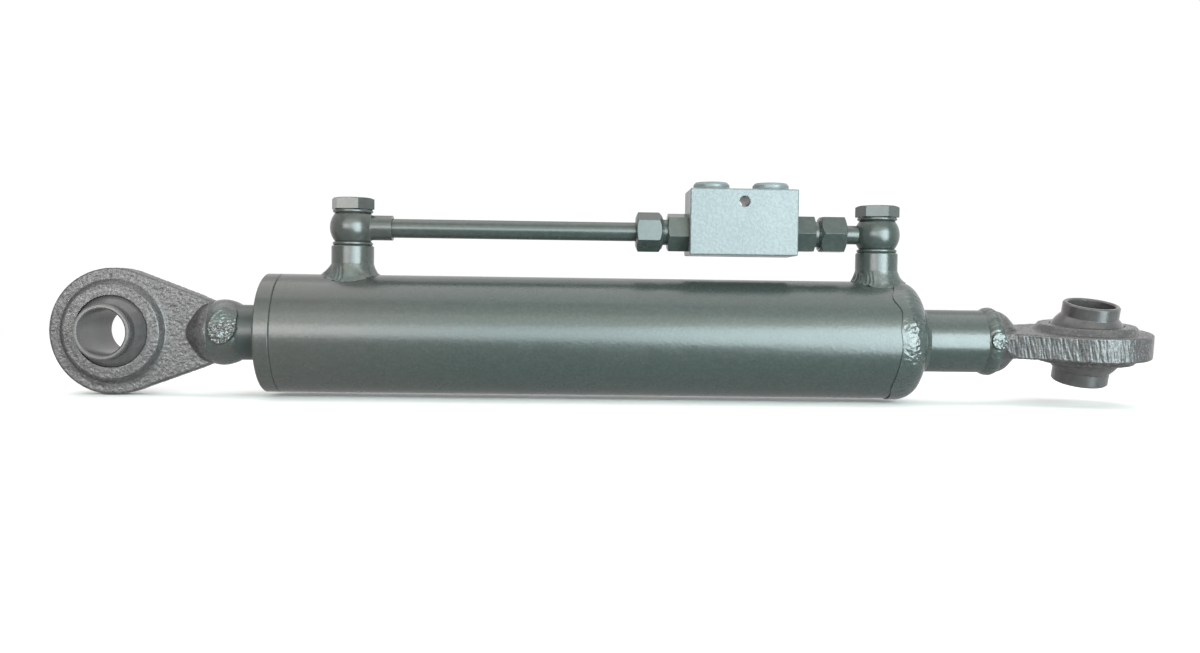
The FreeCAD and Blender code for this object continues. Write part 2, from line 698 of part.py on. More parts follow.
# ---------------------------------------------------------------- valve block and what is in it
def make_valve_block():
    box = doc.addObject("Part::Box", "valve_block_blank")
    bind(box, Length="block_length", Width="block_depth", Height="block_height")
    bind(box, Placement__Base__x="-block_length / 2", Placement__Base__y="-block_depth / 2")
    bind(box, Placement__Base__z="block_top_z - block_height")
    doc.recompute()
    chamfer = doc.addObject("Part::Chamfer", "valve_block_chamfered")
    chamfer.Base = box
    chamfer.Edges = [(i, 0.6, 0.6) for i in range(1, 13)]

    thread = "fitting_hole_dia / 2"
    chamber = "chamber_dia / 2"
    step = "block_length / 2 - fitting_hole_depth"
    bore = turned("valve_block_bore", [
        ("-block_length / 2 - 1", 0),
        ("-block_length / 2 - 1", thread),
        (f"-({step})", thread),
        (f"-({step})", chamber),
        ("-pilot_bore_half", chamber),
        ("-pilot_bore_half", "pilot_bore_dia / 2"),
        ("pilot_bore_half", "pilot_bore_dia / 2"),
        ("pilot_bore_half", chamber),
        (step, chamber),
        (step, thread),
        ("block_length / 2 + 1", thread),
        ("block_length / 2 + 1", 0),
    ])
    place(bore, z="line_z")
    cutters = [bore]
    for name, side in (("left", -1), ("right", 1)):
        port = turned(f"{name}_valve_port_cutter", [
            (0, "line_z - block_top_z"),
            (2.5, "line_z - block_top_z"),
            (2.5, "-valve_port_depth"),
            ("valve_port_dia / 2", "-valve_port_depth"),
            ("valve_port_dia / 2", 1),
            (0, 1),
        ], axis="Z")
        cutters.append(place(port, x=f"{side} * valve_port_pitch / 2", z="block_top_z"))
    cross = bar("cross_hole_cutter", "cross_hole_dia / 2", "block_depth + 4", axis=(0, 1, 0))
    bind(cross, Placement__Base__y="-block_depth / 2 - 2")
    bind(cross, Placement__Base__z="block_top_z - cross_hole_drop")
    cutters.append(cross)
    keep(place(boolean("Cut", "valve_block", chamfer, *cutters), x="block_mid_x"))

    for name, side in (("left", -1), ("right", 1)):
        plug = turned(f"{name}_port_plug", [
            (0, -9),
            ("valve_port_dia / 2 - 1.3", -9),
            ("valve_port_dia / 2 - 0.1", -8),
            ("valve_port_dia / 2 - 0.1", 0.1),
            (12.3, 0.1),
            (12.5, 0.9),
            (11.6, 1.6),
            (11.5, 3.3),
            (10.2, 4.8),
            (0, 4.8),
        ], axis="Z")
        keep(place(plug, x=f"block_mid_x + {side} * valve_port_pitch / 2", z="block_top_z"))


SPRING_PITCH = 2.4
SPRING_RADIUS = 2.85
WIRE_RADIUS = 0.42


def make_pilot():
    land = "pilot_bore_dia / 2 - 0.1"
    left = [("-pilot_tip", 0), ("-pilot_tip", 1.4), ("0.6 - pilot_tip", 2), (-12, 2), (-12, land)]
    right = [(12, land), (12, 2), ("pilot_tip - 0.6", 2), ("pilot_tip", 1.4), ("pilot_tip", 0)]
    corners = left + groove(-1.3, 1.3, land, f"{land} - 1.6") + right
    keep(place(turned("pilot_piston", corners), x="block_mid_x", z="line_z"))
    o_ring = doc.addObject("Part::Torus", "pilot_o_ring")
    bind(o_ring, Radius1=5.2, Radius2=0.75)
    keep(place(o_ring, x="block_mid_x", z="line_z", axis=(0, 1, 0), angle=90))


def make_line_end(name, side, body_turn, nut_turn):
    """Fitting, tube nut, cutting ring and check valve at one end of the block.

    Local X runs out of the block from its end face; side is -1 on the left and +1 on the right.
    """
    face_x = f"block_mid_x + {side} * block_length / 2"
    flip = 0 if side > 0 else 180

    def seat(piece):
        return keep(place(piece, x=face_x, z="line_z", angle=flip))

    thread = "line_thread_dia / 2"
    spigot = "spigot_face_dia / 2"
    near_tube = "tube_dia / 2 + 0.05"
    shell = turned(f"{name}_fitting_shell", [
        ("-spigot_length", 3),
        ("-valve_seat", 3),
        ("-valve_seat", 5),
        ("spring_seat", 5),
        ("spring_seat", 3.5),
        ("tube_stop", 3.5),
        ("tube_stop", near_tube),
        ("tube_stop + 3", near_tube),
        ("line_thread_end", 7.15),
        ("line_thread_end", f"{thread} - 0.55"),
        ("line_thread_end - 0.6", thread),
        ("fitting_hex_length + 3", thread),
        ("fitting_hex_length + 2.4", f"{thread} - 0.8"),
        ("fitting_hex_length", f"{thread} - 0.8"),
        ("fitting_hex_length", "seal_face_dia / 2"),
        ("fitting_hex_length - 1.2", "fitting_flats / 2 + 3"),
        (0, "fitting_flats / 2 + 3"),
        (0, "seal_face_dia / 2"),
        (1, "seal_face_dia / 2"),
        (1, 9.2),
        (0, 9.2),
        (0, spigot),
        ("-spigot_length", spigot),
    ])
    prism = hexagon(f"{name}_fitting_hexagon", "fitting_flats", "fitting_hex_length", body_turn)
    sleeve = turned(f"{name}_fitting_sleeve", [
        ("-spigot_length - 0.5", 0), (0, 0), (0, spigot), ("-spigot_length - 0.5", spigot),
    ])
    spout = turned(f"{name}_fitting_spout", [
        ("fitting_hex_length", 0), ("line_thread_end + 1", 0),
        ("line_thread_end + 1", f"{thread} + 0.05"), ("fitting_hex_length", f"{thread} + 0.05"),
    ])
    keep_zone = boolean("Fuse", f"{name}_fitting_zone", prism, sleeve, spout)
    seat(boolean("Common", f"{name}_fitting", shell, keep_zone))

    seat(turned(f"{name}_fitting_seal", [
        (0.05, 9.3), (0.95, 9.3), (0.95, 10.5), (0.05, 10.5),
    ]))

    nut_thread = f"{thread} + 0.1"
    nut_mouth = "tube_dia / 2 + 0.2"
    nut_blank = turned(f"{name}_tube_nut_blank", [
        ("tube_nut_start", nut_thread),
        ("line_thread_end + 3.5", nut_thread),
        ("tube_nut_end - 0.9", nut_mouth),
        ("tube_nut_end", nut_mouth),
        ("tube_nut_end", 9.3),
        ("tube_nut_end - 0.7", 11),
        ("tube_nut_end - 1.7", 13),
        ("tube_nut_start + 2.2", 13),
        ("tube_nut_start + 0.8", 11.2),
        ("tube_nut_start", 10.4),
    ])
    nut_prism = hexagon(f"{name}_tube_nut_hexagon", "fitting_flats", "tube_nut_end + 1", nut_turn)
    seat(boolean("Common", f"{name}_tube_nut", nut_blank, nut_prism))
    inside = "tube_dia / 2 + 0.04"
    seat(turned(f"{name}_cutting_ring", [
        ("tube_stop + 3.5", inside),
        ("line_thread_end", 7),
        ("line_thread_end + 1", 8.2),
        ("cutting_ring_end - 1.8", 8.2),
        ("cutting_ring_end", 6.4),
        ("cutting_ring_end", inside),
    ]))

    seat(turned(f"{name}_check_poppet", [
        (-9, 0),
        (-9, 0.9),
        (-5.2, 4.75),
        (5, 4.85),
        (5, 3.5),
        (-1, 3.5),
        (-1, 0),
    ]))
    coil = doc.addObject("Part::Helix", f"{name}_check_spring_path")
    coil.Pitch = SPRING_PITCH
    coil.Radius = SPRING_RADIUS
    bind(coil, Height="spring_seat - 0.2")
    wire = doc.addObject("Part::Circle", f"{name}_check_spring_wire")
    wire.Radius = WIRE_RADIUS
    wire.Placement = FreeCAD.Placement(V(SPRING_RADIUS, 0, 0), FreeCAD.Rotation(V(1, 0, 0), 90))
    sweep = doc.addObject("Part::Sweep", f"{name}_check_spring")
    sweep.Sections = [wire]
    sweep.Spine = (coil, ["Edge1"])
    sweep.Solid = True
    sweep.Frenet = True
    turn = FreeCAD.Rotation(V(0, 0, 1), flip) * FreeCAD.Rotation(V(0, 1, 0), 90)
    start = f"{face_x} - {side} * 0.45"
    sweep.Placement = FreeCAD.Placement(V(value(start), 0, value("line_z")), turn)
    bind(sweep, Placement__Base__x=start, Placement__Base__z="line_z")
    keep(sweep)


def make_tube(label, start, end):
    tube = ring(label, "tube_bore / 2", "tube_dia / 2", f"({end}) - ({start})")
    keep(place(tube, x=start, z="line_z"))


# ---------------------------------------------------------------- build, check and write
BANJO_SOCKET = 18
STUB_SOCKET = 9.6
end_gap = "tube_stop + 0.1"

make_barrel()
make_gland()
base_weld = make_base()
make_rod()
make_ball_ends()
make_port("rod")
make_port("base", base_weld)
make_banjo("rod", 1, BANJO_SOCKET)
make_banjo("base", -1, STUB_SOCKET)
make_banjo_bolt("rod", 53)
make_banjo_bolt("base", 44.5)
make_valve_block()
make_pilot()
make_line_end("left", -1, 16, 4)
make_line_end("right", 1, 90, 90)
left_end_x = f"block_mid_x - block_length / 2 - ({end_gap})"
right_end_x = f"block_mid_x + block_length / 2 + {end_gap}"
make_tube("long_tube", f"rod_port_x + {BANJO_SOCKET} + 0.2", left_end_x)
make_tube("short_tube", right_end_x, f"base_port_x - {STUB_SOCKET} - 0.2")
doc.recompute()

broken = [o.Name for o in doc.Objects if "Invalid" in o.State or "Error" in o.State]
if broken:
    raise RuntimeError(f"objects failed to compute: {broken}")
os.makedirs("parts", exist_ok=True)
for piece in nodes:
    shape = piece.Shape
    if shape.isNull() or not shape.isValid() or len(shape.Solids) != 1:
        raise RuntimeError(f"{piece.Label} is not one valid solid")
for piece in nodes:
    piece.Shape.exportStep(f"parts/{piece.Label}.step")
    box = piece.Shape.BoundBox
    print(f"{piece.Label:24s} {piece.Shape.Volume / 1000:9.2f} cm3  x {box.XMin:8.1f} {box.XMax:8.1f}")
print(len(nodes), "sub-parts")
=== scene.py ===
"""Looks of the double-acting hydraulic top-link cylinder.

Paint, forgings and weld beads come first, then the stage, the lights and the camera. Lengths are
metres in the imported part's own frame: +X from the rod end to the base end, +Z up through the
ports, and the origin at the centre of the base ball.
"""
import json
import math

import bmesh
import bpy
import numpy as np
from mathutils import Matrix, Vector, noise


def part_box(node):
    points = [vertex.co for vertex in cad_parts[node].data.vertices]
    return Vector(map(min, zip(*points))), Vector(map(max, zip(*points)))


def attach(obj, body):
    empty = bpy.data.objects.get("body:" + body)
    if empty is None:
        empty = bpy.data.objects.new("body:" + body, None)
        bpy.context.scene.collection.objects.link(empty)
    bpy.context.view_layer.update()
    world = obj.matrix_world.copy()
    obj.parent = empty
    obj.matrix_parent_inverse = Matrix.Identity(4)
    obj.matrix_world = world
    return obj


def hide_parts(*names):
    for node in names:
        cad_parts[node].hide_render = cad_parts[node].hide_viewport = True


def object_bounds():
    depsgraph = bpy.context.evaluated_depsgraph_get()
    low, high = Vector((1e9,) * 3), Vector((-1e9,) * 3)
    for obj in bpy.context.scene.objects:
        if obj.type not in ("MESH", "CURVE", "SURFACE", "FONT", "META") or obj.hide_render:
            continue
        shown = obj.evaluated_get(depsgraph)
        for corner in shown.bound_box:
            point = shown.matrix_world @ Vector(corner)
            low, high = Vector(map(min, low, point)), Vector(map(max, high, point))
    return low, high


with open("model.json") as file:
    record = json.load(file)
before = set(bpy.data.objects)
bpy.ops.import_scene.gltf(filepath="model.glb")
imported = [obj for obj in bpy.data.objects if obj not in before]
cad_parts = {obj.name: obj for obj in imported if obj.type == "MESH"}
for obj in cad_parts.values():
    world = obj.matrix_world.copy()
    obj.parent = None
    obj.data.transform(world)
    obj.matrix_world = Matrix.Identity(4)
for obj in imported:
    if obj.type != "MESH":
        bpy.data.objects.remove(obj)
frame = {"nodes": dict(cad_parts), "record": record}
cad_low, cad_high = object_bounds()
MM = 0.001
NODES = frame["nodes"]
SLOT_OF = {part["node"]: part["material_slot"] for part in frame["record"]["subparts"]}
BODY_OF = {node: body for body, members in frame["record"]["behaviour"]["bodies"].items() for node in members}


def middle(node):
    """Centre of a CAD node's box."""
    low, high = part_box(node)
    return (low + high) / 2


# ---------------------------------------------------------------- materials
# Painted light: the paints are tinted warmer from here towards the rod end, for the warmer light there.
WARM_LIGHT_END_X = -520 * MM
COOL_LIGHT_START_X = -360 * MM
PAINT_IOR = 1.54
WELD_IOR = 1.62


class Look:
    """A principled material whose colour, roughness and relief come from object-space noise."""

    def __init__(self, name):
        self.material = bpy.data.materials.new(name)
        self.material.use_nodes = True
        self.tree = self.material.node_tree
        self.shader = self.tree.nodes["Principled BSDF"]
        self.place = self.node("ShaderNodeTexCoord").outputs["Object"]

    def node(self, kind, **settings):
        made = self.tree.nodes.new(kind)
        for name, setting in settings.items():
            setattr(made, name, setting)
        return made

    def link(self, source, socket):
        self.tree.links.new(source, socket)

    def stretched(self, scale):
        """Object coordinates scaled per axis, for a texture with a direction."""
        mapping = self.node("ShaderNodeMapping")
        mapping.inputs["Scale"].default_value = scale
        self.link(self.place, mapping.inputs["Vector"])
        return mapping.outputs["Vector"]

    def noise(self, size, detail=2.0, rough=0.5, warp=0.0, vector=None):
        """Noise whose lumps are about size across."""
        made = self.node("ShaderNodeTexNoise")
        made.inputs["Scale"].default_value = 0.5 / size
        made.inputs["Detail"].default_value = detail
        made.inputs["Roughness"].default_value = rough
        made.inputs["Distortion"].default_value = warp
        self.link(vector or self.place, made.inputs["Vector"])
        return made.outputs["Fac"]

    def remap(self, factor, low, high, to_low=0.0, to_high=1.0):
        """Smooth ramp of factor from low..high to to_low..to_high."""
        made = self.node("ShaderNodeMapRange", interpolation_type="SMOOTHSTEP")
        for socket, number in zip(("From Min", "From Max", "To Min", "To Max"), (low, high, to_low, to_high)):
            made.inputs[socket].default_value = number
        self.link(factor, made.inputs["Value"])
        return made.outputs["Result"]

    def warm_light_tint(self, colour):
        """The paint's colour with a painted light tint: warmer towards the rod end, where the light is
        warmer.
        """
        split = self.node("ShaderNodeSeparateXYZ")
        self.link(self.place, split.inputs["Vector"])
        warm_lit = (colour[0] * 1.55, colour[1] * 1.1, colour[2] * 1.1)
        return self.mix(self.remap(split.outputs["X"], WARM_LIGHT_END_X, COOL_LIGHT_START_X), warm_lit, colour)

    def maths(self, operation, first, second):
        """Math node; each operand is a number or another node's output."""
        made = self.node("ShaderNodeMath", operation=operation)
        for socket, item in zip(made.inputs, (first, second)):
            if isinstance(item, (int, float)):
                socket.default_value = item
            else:
                self.link(item, socket)
        return made.outputs[0]

    def mix(self, factor, first, second):
        """Colour mix; each colour is a tuple or another node's output."""
        made = self.node("ShaderNodeMix", data_type="RGBA")
        self.link(factor, made.inputs[0])
        for socket, colour in ((made.inputs[6], first), (made.inputs[7], second)):
            if isinstance(colour, tuple):
                socket.default_value = (*colour, 1.0)
            else:
                self.link(colour, socket)
        return made.outputs[2]

    def bump(self, height, distance, strength=1.0, below=None):
        made = self.node("ShaderNodeBump")
        made.inputs["Distance"].default_value = distance
        made.inputs["Strength"].default_value = strength
        self.link(height, made.inputs["Height"])
        if below is not None:
            self.link(below, made.inputs["Normal"])
        return made.outputs["Normal"]

    def rounded(self, radius):
        """Normals as if sharp edges had this radius, and a mask that is bright on those edges."""
        bevel = self.node("ShaderNodeBevel", samples=4)
        bevel.inputs["Radius"].default_value = radius
        geometry = self.node("ShaderNodeNewGeometry")
        dot = self.node("ShaderNodeVectorMath", operation="DOT_PRODUCT")
        self.link(bevel.outputs["Normal"], dot.inputs[0])
        self.link(geometry.outputs["Normal"], dot.inputs[1])
        return bevel.outputs["Normal"], self.remap(dot.outputs["Value"], 0.99, 0.86)

    def out(self, socket, source):
        """Sets a socket of the shader to a number, a colour or another node's output."""
        if isinstance(source, (int, float)):
            self.shader.inputs[socket].default_value = source
        elif isinstance(source, tuple):
            self.shader.inputs[socket].default_value = (*source, 1.0)
        else:
            self.link(source, self.shader.inputs[socket])


def lighter(colour, share):
    """The colour scaled by share, darker where share is below 1."""
    return tuple(part * share for part in colour)


def paint(name, colour, roughness=0.26, peel=0.9 * MM, depth=0.055 * MM, edge=0.5 * MM, wear_and_highlight=1.7,
          warm_light_tinted=True):
    """Sprayed enamel: orange peel with painted sparkle, faint cloudiness, dust, and edges lightened partly by
    a thinner coat and partly as a painted highlight.

    peel and depth size the orange peel and its painted sparkle, edge and wear_and_highlight the width and
    brightness of the lighter edges, and warm_light_tinted paints a warmer light tint towards the rod end.
    """
    look = Look(name)
    cloud = look.noise(26 * MM, 3, 0.6)
    mottle = look.noise(4 * MM, 3, 0.6)
    # Painted light: the colour is tinted warmer towards the rod end, where the light is warmer.
    base = look.warm_light_tint(lighter(colour, 0.93)) if warm_light_tinted else lighter(colour, 0.93)
    base = look.mix(look.maths("MULTIPLY", cloud, 0.3), base, lighter(colour, 1.2))
    base = look.mix(look.remap(mottle, 0.45, 0.8, 0.0, 0.2), base, lighter(colour, 1.25))
    # Painted sparkle: light flecks the size of the orange peel stand for its glints in the highlights.
    base = look.mix(look.remap(look.noise(peel, 1.5, 0.5), 0.35, 0.7, 0.0, 0.3), base, lighter(colour, 1.7))
    dust = look.remap(look.noise(0.55 * MM, 1, 0.5), 0.7, 0.78, 0.0, 0.1)
    base = look.mix(dust, base, tuple(0.06 + part for part in colour))
    smooth, highlit_edges = look.rounded(edge)
    # Lighter edges: partly the thinner coat there, partly a painted highlight.
    base = look.mix(look.maths("MULTIPLY", highlit_edges, 0.8), base, lighter(colour, wear_and_highlight))
    look.out("Base Color", base)
    rough = look.remap(look.noise(9 * MM, 3, 0.6), 0.2, 0.8, roughness - 0.03, roughness + 0.03)
    look.out("Roughness", rough)
    peeled = look.bump(look.noise(peel, 1.5, 0.45), depth, 1.0, smooth)
    look.out("Normal", look.bump(look.noise(0.4 * MM, 1, 0.5), 0.006 * MM, 1.0, peeled))
    look.out("IOR", PAINT_IOR)
    return look.material


def forged_paint(name, colour):
    """Thin paint over forging scale: grain with bright worn crests and dark pits, and painted highlights on
    its edges.
    """
    look = Look(name)
    grain = look.noise(0.8 * MM, 3, 0.6, 0.5)
    coarse = look.noise(5 * MM, 3, 0.55)
    crests = look.remap(grain, 0.53, 0.68)
    pits = look.remap(grain, 0.45, 0.32)
    base = look.mix(look.remap(coarse, 0.3, 0.7), lighter(colour, 0.85), lighter(colour, 1.2))
    base = look.mix(look.maths("MULTIPLY", crests, 0.7), base, lighter(colour, 2.6))
    base = look.mix(look.maths("MULTIPLY", pits, 0.8), base, lighter(colour, 0.35))
    smooth, highlit_edges = look.rounded(0.6 * MM)
    # Painted highlight: the rounded edges are lightened to stand for their shine.
    look.out("Base Color", look.mix(look.maths("MULTIPLY", highlit_edges, 0.55), base, lighter(colour, 2.2)))
    look.out("Roughness", look.remap(grain, 0.3, 0.7, 0.42, 0.22))
    raised = look.bump(grain, 0.2 * MM, 1.0, smooth)
    look.out("Normal", look.bump(look.noise(0.45 * MM, 2, 0.6), 0.03 * MM, 1.0, raised))
    look.out("IOR", PAINT_IOR)
    return look.material


def weld_paint(name, colour):
    """Glossier pooled paint over a weld bead, with spatter grains and a painted warmer light tint towards the
    rod end.
    """
    look = Look(name)
    cloud = look.remap(look.noise(7 * MM, 3, 0.6), 0.3, 0.7)
    # Painted light: the colour is tinted warmer towards the rod end, where the light is warmer.
    base = look.mix(cloud, look.warm_light_tint(lighter(colour, 0.9)), lighter(colour, 1.2))
    spatter = look.remap(look.noise(0.9 * MM, 1, 0.5), 0.62, 0.72)
    base = look.mix(look.maths("MULTIPLY", spatter, 0.5), base, lighter(colour, 1.8))
    look.out("Base Color", base)
    look.out("Roughness", look.remap(look.noise(2.5 * MM, 3, 0.6), 0.3, 0.7, 0.2, 0.3))
    relief = look.bump(look.noise(1.3 * MM, 3, 0.6, 0.6), 0.045 * MM)
    look.out("Normal", look.bump(spatter, 0.05 * MM, 1.0, relief))
    look.out("IOR", WELD_IOR)
    return look.material


def chromed_rod(name, colour, paint_edge_x):
    """Polished hard chrome; the stretch that sticks out at rest carries the cylinder's paint."""
    look = Look(name)
    split = look.node("ShaderNodeSeparateXYZ")
    look.link(look.place, split.inputs["Vector"])
    ragged = look.maths("MULTIPLY", look.noise(1.5 * MM, 3, 0.6), 0.9 * MM)
    along = look.maths("ADD", split.outputs["X"], ragged)
    bare = look.remap(along, paint_edge_x, paint_edge_x + 0.5 * MM)
    lines = look.noise(1.0, 4, 0.6, 0.0, look.stretched((900, 60, 60)))
    painted = look.mix(look.noise(20 * MM, 3, 0.6), lighter(colour, 0.85), lighter(colour, 1.2))
    chrome = look.mix(look.noise(30 * MM, 3, 0.6), DULL_CHROME, BRIGHT_CHROME)
    look.out("Base Color", look.mix(bare, painted, chrome))
    look.out("Metallic", bare)
    hone = look.remap(lines, 0.35, 0.65, 0.06, 0.13)
    satin = look.remap(look.noise(8 * MM, 3, 0.6), 0.3, 0.7, 0.3, 0.38)
    spread = look.maths("ADD", look.maths("MULTIPLY", bare, hone),
                        look.maths("MULTIPLY", look.maths("SUBTRACT", 1.0, bare), satin))
    look.out("Roughness", spread)
    scored = look.bump(lines, 0.002 * MM)
    film = look.bump(look.maths("SUBTRACT", 1.0, bare), 0.08 * MM, 1.0, scored)
    look.out("Normal", look.bump(look.noise(1.6 * MM, 2, 0.5), 0.012 * MM, 1.0, film))
    return look.material


def steel(name, colour, turning):
    """Machined steel with tool marks; turning scales the marks along X, Y and Z."""
    look = Look(name)
    marks = look.noise(1.0, 4, 0.6, 0.0, look.stretched(turning))
    stain = look.remap(look.noise(6 * MM, 3, 0.6), 0.35, 0.7)
    look.out("Base Color", look.mix(stain, colour, lighter(colour, 0.72)))
    look.out("Metallic", 1.0)
    look.out("Roughness", look.remap(marks, 0.3, 0.7, 0.24, 0.42))
    smooth = look.rounded(0.2 * MM)[0]
    look.out("Normal", look.bump(marks, 0.01 * MM, 1.0, smooth))
    return look.material


def moulded(name, colour, roughness, grain, depth):
    """Rubber, resin or moulded plastic with a fine matt grain."""
    look = Look(name)
    patches = look.remap(look.noise(5 * MM, 3, 0.6), 0.3, 0.7)
    look.out("Base Color", look.mix(patches, lighter(colour, 0.85), lighter(colour, 1.18)))
    rough = look.remap(look.noise(2 * MM, 3, 0.6), 0.3, 0.7, roughness - 0.06, roughness + 0.08)
    look.out("Roughness", rough)
    smooth = look.rounded(0.3 * MM)[0]
    look.out("Normal", look.bump(look.noise(grain, 3, 0.6), depth, 1.0, smooth))
    return look.material


GREEN_GREY = (0.0225, 0.029, 0.0265)
WARM_GREY = (0.032, 0.0295, 0.0295)
BLOCK_GREY = (0.066, 0.079, 0.082)
PLUG_GREY = (0.085, 0.105, 0.108)
DULL_CHROME = (0.5, 0.51, 0.515)
BRIGHT_CHROME = (0.555, 0.56, 0.56)
STEEL_GREY = (0.5, 0.5, 0.51)
SPRING_GREY = (0.36, 0.36, 0.38)
RUBBER_BLACK = (0.016, 0.016, 0.017)
RESIN_BROWN = (0.3, 0.15, 0.05)
PAINT_EDGE_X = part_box("gland")[0].x - 0.8 * MM

MATERIALS = {
    "barrel_paint": paint("barrel_paint", GREEN_GREY),
    "weld_paint": weld_paint("weld_paint", lighter(GREEN_GREY, 1.05)),
    "forging_paint": forged_paint("forging_paint", WARM_GREY),
    "ball_paint": paint("ball_paint", lighter(WARM_GREY, 1.15), roughness=0.25, peel=2.2 * MM,
                        depth=0.012 * MM, edge=0.35 * MM, wear_and_highlight=2.2, warm_light_tinted=False),
    "fitting_paint": paint("fitting_paint", GREEN_GREY, roughness=0.25, peel=1.8 * MM,
                           depth=0.02 * MM, edge=0.4 * MM, wear_and_highlight=2.4),
    "tube_paint": paint("tube_paint", lighter(GREEN_GREY, 0.95), roughness=0.24, peel=1.6 * MM,
                        depth=0.015 * MM, edge=0.2 * MM),
    "block_paint": paint("block_paint", BLOCK_GREY, roughness=0.32, peel=0.95 * MM,
                         depth=0.13 * MM, edge=0.7 * MM, wear_and_highlight=1.5),
    "plug_plastic": moulded("plug_plastic", PLUG_GREY, roughness=0.33, grain=0.9 * MM, depth=0.02 * MM),
    "chromed_rod": chromed_rod("chromed_rod", GREEN_GREY, PAINT_EDGE_X),
    "plain_steel": steel("plain_steel", STEEL_GREY, turning=(1400, 120, 120)),
    "spring_steel": steel("spring_steel", SPRING_GREY, turning=(300, 900, 900)),
    "seal_rubber": moulded("seal_rubber", RUBBER_BLACK, roughness=0.55, grain=0.6 * MM, depth=0.02 * MM),
    "guide_resin": moulded("guide_resin", RESIN_BROWN, roughness=0.5, grain=0.8 * MM, depth=0.04 * MM),
}

for node, thing in NODES.items():
    thing.data.materials.clear()
    thing.data.materials.append(MATERIALS[SLOT_OF[node]])


# ---------------------------------------------------------------- mesh helpers
def stand_in(name, mesh, *nodes):
    """A new piece that stands for CAD nodes, rides on their body and takes their finish."""
    piece = bpy.data.objects.new(name, mesh)
    bpy.context.scene.collection.objects.link(piece)
    slot = SLOT_OF[nodes[0]]
    mesh.materials.clear()
    mesh.materials.append(MATERIALS[slot])
    mesh.shade_smooth()
    mesh.set_sharp_from_angle(angle=math.radians(50))
    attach(piece, BODY_OF[nodes[0]])
    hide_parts(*nodes)
    return piece


def points_of(mesh):
    flat = np.empty(len(mesh.vertices) * 3, np.float32)
    mesh.vertices.foreach_get("co", flat)
    return flat.reshape(-1, 3).astype(float)


def normals_of(mesh):
    flat = np.empty(len(mesh.vertices) * 3, np.float32)
    mesh.vertex_normals.foreach_get("vector", flat)
    return flat.reshape(-1, 3).astype(float)


def set_points(mesh, points):
    mesh.vertices.foreach_set("co", points.astype(np.float32).ravel())
    mesh.update()


def lumps(points, size, seed=0.0):
    """Perlin noise at points, about -1 to 1, with lumps of this size."""
    offset = Vector((seed * 7.31, seed * 3.77, seed * 5.13))
    return np.array([noise.noise(Vector(p) / size + offset) for p in points])


def smoothstep(low, high, x):
    """Smooth ramp of x from 0 at low to 1 at high; low may be the larger."""
    share = np.clip((x - low) / (high - low), 0, 1)
    return share * share * (3 - 2 * share)


# ---------------------------------------------------------------- forged eyes
EYE_RADIUS = 40 * MM
BOSS_RADIUS = 33 * MM
SOCKET_RADIUS = 25.2 * MM
TANG_END = 61 * MM
PLATE_HALF = 8.15 * MM
GRAIN_DEPTH = 0.42 * MM
SHEAR_DEPTH = 0.38 * MM
RING_DEPTH = 0.16 * MM
WAVE_DEPTH = 0.12 * MM
EYE_VOXEL = 0.5 * MM
BASE_EYE_ROLL = math.radians(5.5)


def remeshed(node, voxel):
    """A copy of a CAD node's mesh with even small faces drawn back onto it, fit to be roughened."""
    mesh = NODES[node].data.copy()
    shell = bmesh.new()
    shell.from_mesh(mesh)
    bmesh.ops.remove_doubles(shell, verts=shell.verts, dist=0.001 * MM)
    shell.to_mesh(mesh)
    shell.free()
    helper = bpy.data.objects.new("remesh_helper", mesh)
    bpy.context.scene.collection.objects.link(helper)
    grid = helper.modifiers.new("grid", "REMESH")
    grid.mode = "VOXEL"
    grid.voxel_size = voxel
    wrap = helper.modifiers.new("wrap", "SHRINKWRAP")
    wrap.target = NODES[node]
    wrap.wrap_method = "NEAREST_SURFACEPOINT"
    graph = bpy.context.evaluated_depsgraph_get()
    result = bpy.data.meshes.new_from_object(helper.evaluated_get(graph))
    bpy.data.objects.remove(helper)
    bpy.data.meshes.remove(mesh)
    return result


